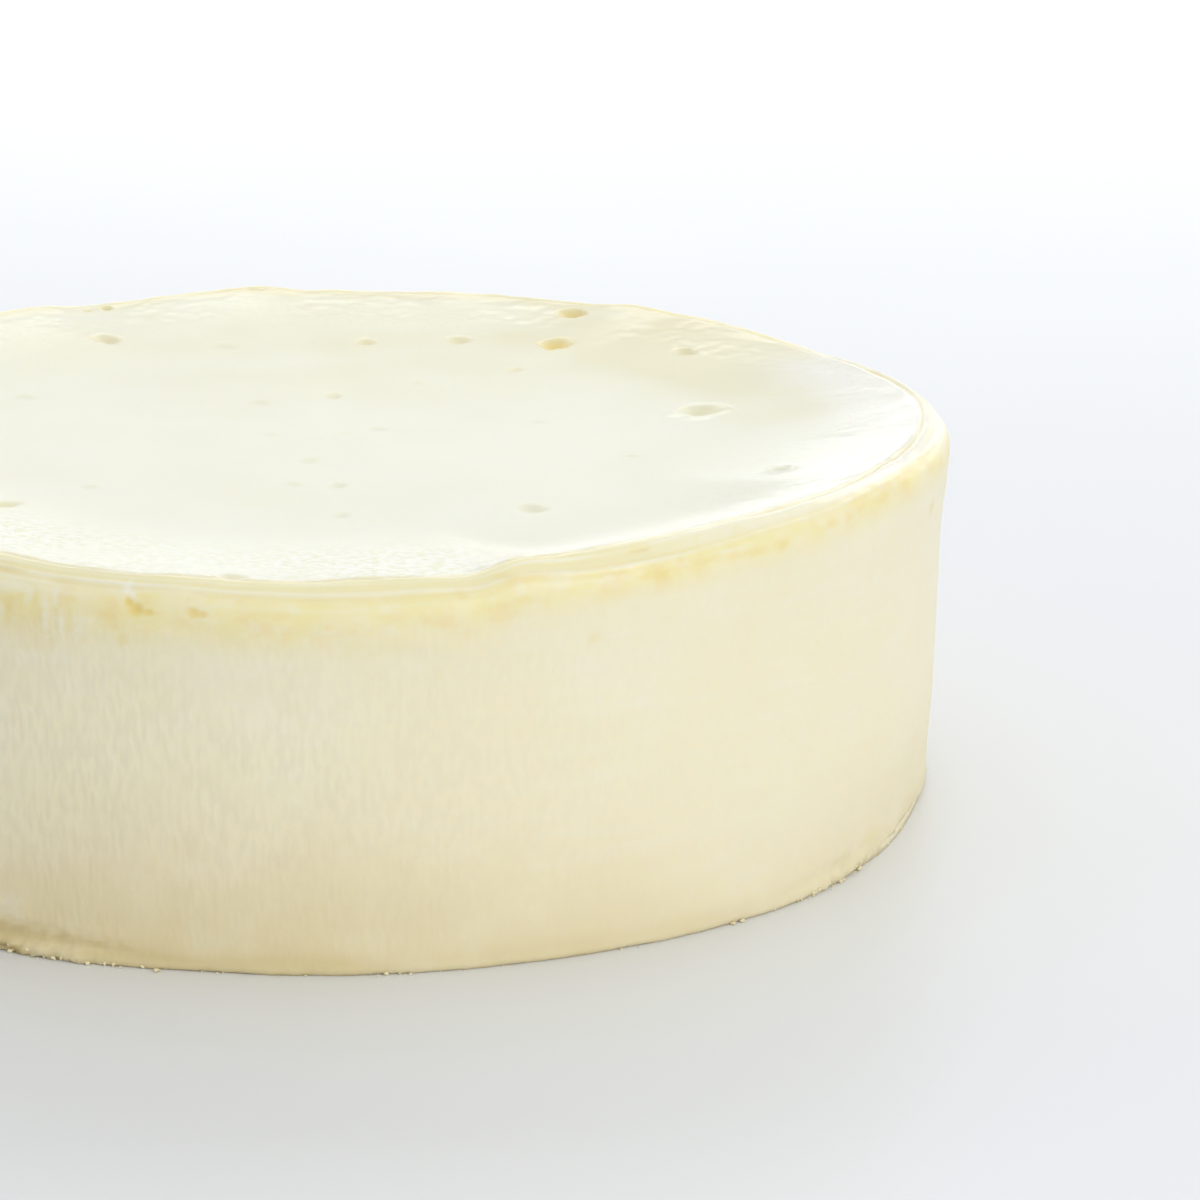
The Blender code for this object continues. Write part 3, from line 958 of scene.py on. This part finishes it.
def makeCakeMaterial(colours):
    material, tree, surface, coords = newMaterial("bakedCream")
    fromRim = readAttribute(tree, "fromRim")        # mm outside the groove, negative on the top
    crease, fold, brown, pale, soggyAndShade, warm, combed, hollow, footTone, slick = (
        readAttribute(tree, name) for name in cakeMasks)

    def times(*factors):
        product = factors[0]
        for factor in factors[1:]:
            product = maths(tree, "MULTIPLY", product, factor)
        return product

    def plus(*terms):
        total = terms[0]
        for term in terms[1:]:
            total = maths(tree, "ADD", total, term)
        return total

    def without(mask):
        return maths(tree, "SUBTRACT", 1.0, mask)

    def zone(value, start, full, fade, end):
        return useGroup(tree, zoneBand, Value=value, Start=start, Full=full, Fade=fade, End=end)["Mask"]

    def place(name):
        return zone(fromRim, *cakeZones[name])

    def patch(scale, low, high, detail=3.0, squeeze=(1.0, 1.0, 1.0)):
        return useGroup(tree, mottle, Vector=coords, Scale=scale, Low=low, High=high,
                        Squeeze=squeeze, Detail=detail)

    def tint(colour, share, name):
        return mixColour(tree, share, colour, colours[name])

    patches = {name: patch(*values) for name, values in cakePatches.items()}
    masks = {name: outputs["Mask"] for name, outputs in patches.items()}
    heights = {name: outputs["Height"] for name, outputs in patches.items()}
    onTop = place("top")
    # the side: broad clouds, finer mottling, streaks that run up it and bands that run round it
    colour = mixColour(tree, times(masks["clouds"], 0.5), colours["side"], colours["sideDeep"])
    colour = tint(colour, times(masks["mottling"], 0.22), "sideDeep")
    colour = tint(colour, times(masks["specks"], 0.20), "sidePale")
    streaky = times(combed, plus(times(masks["gone"], 0.6), 0.4))
    colour = tint(colour, times(masks["streaks"], plus(times(streaky, 0.36), 0.03)), "streak")
    banded = times(masks["bands"], plus(times(without(combed), masks["gone"], 0.16), 0.04))
    colour = tint(colour, banded, "sidePale")
    # yellow under the rim, blotched with orange and with pale
    under = mixValue(tree, slick, place("underSlickRim"), place("underRim"))
    colour = tint(colour, times(under, plus(times(masks["uneven"], 0.55), 0.50)), "underRim")
    nearRim = mixValue(tree, slick, place("nearSlickRim"), place("nearRim"))
    colour = tint(colour, times(nearRim, masks["blotches"], 0.60), "orange")
    colour = tint(colour, times(nearRim, masks["curds"], 0.32), "sidePale")
    # the rolled lip with its folds, and a painted highlight along their crests
    colour = tint(colour, place("lip"), "lip")
    colour = tint(colour, times(crease, 0.38), "valley")
    colour = tint(colour, times(fold, 0.70), "foldHighlight")
    # the moist top, its wet rim band flecked with painted glints and painted shade, fewer at the back
    topShare = plus(times(masks["topClouds"], 0.16), times(warm, 0.85))
    topColour = mixColour(tree, topShare, colours["top"], colours["topWarm"])
    glinting = times(place("glintBand"), without(hollow), without(times(slick, 0.75)))
    glinting = times(glinting, plus(times(masks["clouds"], 0.9), 0.25), without(warm))
    axes = addNode(tree, "ShaderNodeSeparateXYZ")
    tree.links.new(coords, axes.inputs[0])
    front = zone(axes.outputs["Y"], -1.0, -0.9, 0.015, 0.070)       # there are fewer at the back
    glinting = times(glinting, plus(times(front, 0.7), 0.3))
    topColour = tint(topColour, times(glinting, masks["wrinkles"], 0.90), "fleckShade")
    topColour = tint(topColour, times(glinting, without(masks["wrinkles"]), 0.70), "pale")
    colour = mixColour(tree, onTop, colour, topColour)
    # tan just above the plate, partly painted shade, more of it at the front left
    colour = tint(colour, times(footTone, plus(times(masks["footPatch"], 0.5), 0.75)), "foot")
    # soaked brown and painted shade along the foot, then a painted contact shadow as a dark line at the
    # floor
    colour = tint(colour, soggyAndShade, "soggyAndShade")
    colour = tint(colour, maths(tree, "SUBTRACT", soggyAndShade, 1.0), "contactShadow")
    # painted shade in the hollow of each dent on the top
    colour = tint(colour, times(hollow, onTop, 0.52), "dentShade")
    colour = tint(colour, brown, "bubble")
    # pale marks, and painted glare on the lip and the rim at the right
    colour = tint(colour, times(pale, plus(times(masks["specks"], -0.45), 1.0)), "pale")
    tree.links.new(colour, surface.inputs["Base Color"])

    # finish: satin side, moist middle, wet rim and lip, and dents that are dull inside
    wet = place("wet")
    sideRough = mixValue(tree, masks["dull"], 0.46, 0.56)
    wetRough = plus(times(hollow, 0.2), mixValue(tree, place("glossy"), 0.34, 0.29))
    tree.links.new(mixValue(tree, wet, sideRough, wetRough), surface.inputs["Roughness"])
    polished = maths(tree, "MAXIMUM", times(place("shinyLip"), 0.42),
                     times(slick, place("shinyRim"), 0.50))
    shine = plus(times(wet, plus(times(slick, 0.03), 0.17)), polished, 0.05)
    tree.links.new(times(shine, without(times(hollow, 0.9)), without(times(crease, 0.7))),
                   surface.inputs["Coat Weight"])
    for name, value in cakeFinish.items():
        surface.inputs[name].default_value = value

    # relief too fine for the mesh
    onSide = place("side")
    relief = plus(
        times(heights["wrinkles"], plus(times(glinting, 0.45), 0.010)),
        times(heights["streaks"], onSide, plus(times(streaky, 0.12), 0.02)),
        times(heights["bands"], onSide, 0.04),
        times(heights["specks"], pale, onSide, 0.35),
        times(heights["curds"], nearRim, 0.15),
        times(heights["mottling"], onSide, 0.09),
        times(heights["grain"], plus(times(onSide, 0.024), 0.006)))
    bumpFrom(tree, surface, relief, 1.0 * mm)
    return material


cake = makeCake()
cake.data.materials.append(makeCakeMaterial(cakeColours))
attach(cake, "root")
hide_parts("cheesecake")
print("cake baked:", countTriangles(cake), "triangles")


# Crumbs lie close to the worn foot.
crumbSetup = {
    "count": 460,
    "sizes": (0.14, 0.50),      # mm, from the middle to the outside
    "reach": 4.0,               # mm out from the foot
    "seed": 11,
}


def makeCrumbs(values):
    chance = random.Random(values["seed"])
    bm = bmesh.new()
    small, large = values["sizes"]
    made = 0
    while made < values["count"]:
        bearing = chance.uniform(-180.0, 180.0)
        worn = wornFoot(bearing)
        broken = brokenFoot(bearing)
        if chance.random() > (0.06 + 0.94 * worn) * (1.0 - 0.6 * broken):
            continue
        made += 1
        size = (small + (large - small) * chance.random() ** 2.2) * mm
        loose = chance.random() < 0.03
        outward = (values["reach"] * chance.random() if loose else 0.8 * chance.gauss(0.0, 0.5)) * mm
        lift = 0.0 if loose else 1.6 * worn * mm * chance.random() ** 1.5
        edge = baseRadius + ripple("footRipple", bearing)
        edge += (1.1 + 0.9 * worn - 2.3 * broken) * mm
        place = onRing(edge + outward - 0.4 * lift, bearing, 0.6 * size + lift)
        stretch = Matrix.Diagonal([chance.uniform(0.75, 1.4), chance.uniform(0.7, 1.2),
                                   chance.uniform(0.6, 0.9), 1.0])
        turn = Euler([chance.uniform(-0.4, 0.4), chance.uniform(-0.4, 0.4), chance.uniform(0.0, 6.28)])
        lump = bmesh.ops.create_icosphere(
            bm, subdivisions=2, radius=size,
            matrix=Matrix.Translation(place) @ turn.to_matrix().to_4x4() @ stretch)
        for vert in lump["verts"]:
            push = noise.noise((vert.co - place) * (1.1 / size) + Vector((made, 0.0, 0.0)))
            push += 0.4 * noise.noise((vert.co - place) * (2.6 / size) + Vector((0.0, made, 0.0)))
            vert.co = place + (vert.co - place) * (1.0 + 0.6 * push)
            vert.co.z = max(vert.co.z, 0.03 * mm)
    return placeMesh("footCrumbs", bm)


def makeCrumbMaterial(colours):
    material, tree, surface, coords = newMaterial("crumbCream")
    patchy = useGroup(tree, mottle, Vector=coords, Scale=420.0, Low=0.35, High=0.7)
    footTone = maths(tree, "MULTIPLY_ADD", patchy["Mask"], 0.40)
    footTone.node.inputs[2].default_value = 0.05
    colour = mixColour(tree, footTone, colours["sideDeep"], colours["foot"])
    tree.links.new(colour, surface.inputs["Base Color"])
    rough = mixValue(tree, patchy["Mask"], 0.5, 0.7)
    tree.links.new(rough, surface.inputs["Roughness"])
    grain = useGroup(tree, mottle, Vector=coords, Scale=2500.0)
    bumpFrom(tree, surface, grain["Height"], 0.15 * mm)
    return material


crumbs = makeCrumbs(crumbSetup)
crumbs.data.materials.append(makeCrumbMaterial(cakeColours))
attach(crumbs, "root")
print("crumbs scattered:", countTriangles(crumbs), "triangles")


studio = {
    "floorColour": (0.76, 0.775, 0.795, 1.0),
    "floorRoughness": 0.36,
    "floorSize": 9.0,
    "sky": (0.97, 0.985, 1.0, 1.0),
    "skyStrength": 0.675,
    # name: place, the point it faces, size across and up, power
    "lamps": {
        "window": ((0.55, 2.1, 0.26), (0.0, 0.0, 0.03), (3.2, 0.44), 3.7),
        "overhead": ((0.0, 0.0, 1.8), (0.0, 0.0, 0.03), (2.4, 2.4), 4.5),
        "frontRight": ((1.06, -1.51, 0.7), (0.0, 0.0, 0.03), (1.2, 1.0), 10.8),
        "rearRight": ((1.5, 1.3, 0.6), (0.0, 0.0, 0.03), (1.2, 1.0), 2.1),
        "overFloor": ((0.1, 1.25, 0.9), (0.1, 1.1, 0.0), (2.4, 0.8), 10.6),
    },
}


def makeFloor(values):
    bpy.ops.mesh.primitive_plane_add(size=values["floorSize"])
    floor = bpy.context.object
    floor.name = "floor"
    material, tree, surface, coords = newMaterial("paleTable")
    faint = useGroup(tree, mottle, Vector=coords, Scale=3.0, Low=0.3, High=0.7)
    paler = [min(1.0, 1.03 * part) for part in values["floorColour"][:3]] + [1.0]
    colour = mixColour(tree, faint["Mask"], values["floorColour"], paler)
    tree.links.new(colour, surface.inputs["Base Color"])
    surface.inputs["Roughness"].default_value = values["floorRoughness"]
    floor.data.materials.append(material)


def makeLamps(values):
    for name, (place, target, size, power) in values["lamps"].items():
        light = bpy.data.lights.new(name, "AREA")
        light.shape = "RECTANGLE"
        light.size, light.size_y = size
        light.energy = power
        lamp = bpy.data.objects.new(name, light)
        lamp.location = place
        lamp.rotation_euler = (Vector(place) - Vector(target)).to_track_quat("Z", "Y").to_euler()
        bpy.context.scene.collection.objects.link(lamp)


def makeSky(values):
    world = bpy.data.worlds.new("softSky")
    bpy.context.scene.world = world
    world.use_nodes = True
    background = world.node_tree.nodes["Background"]
    background.inputs["Color"].default_value = values["sky"]
    background.inputs["Strength"].default_value = values["skyStrength"]


makeFloor(studio)
makeLamps(studio)
makeSky(studio)
bpy.context.scene.view_settings.view_transform = "Standard"
print("studio lit")
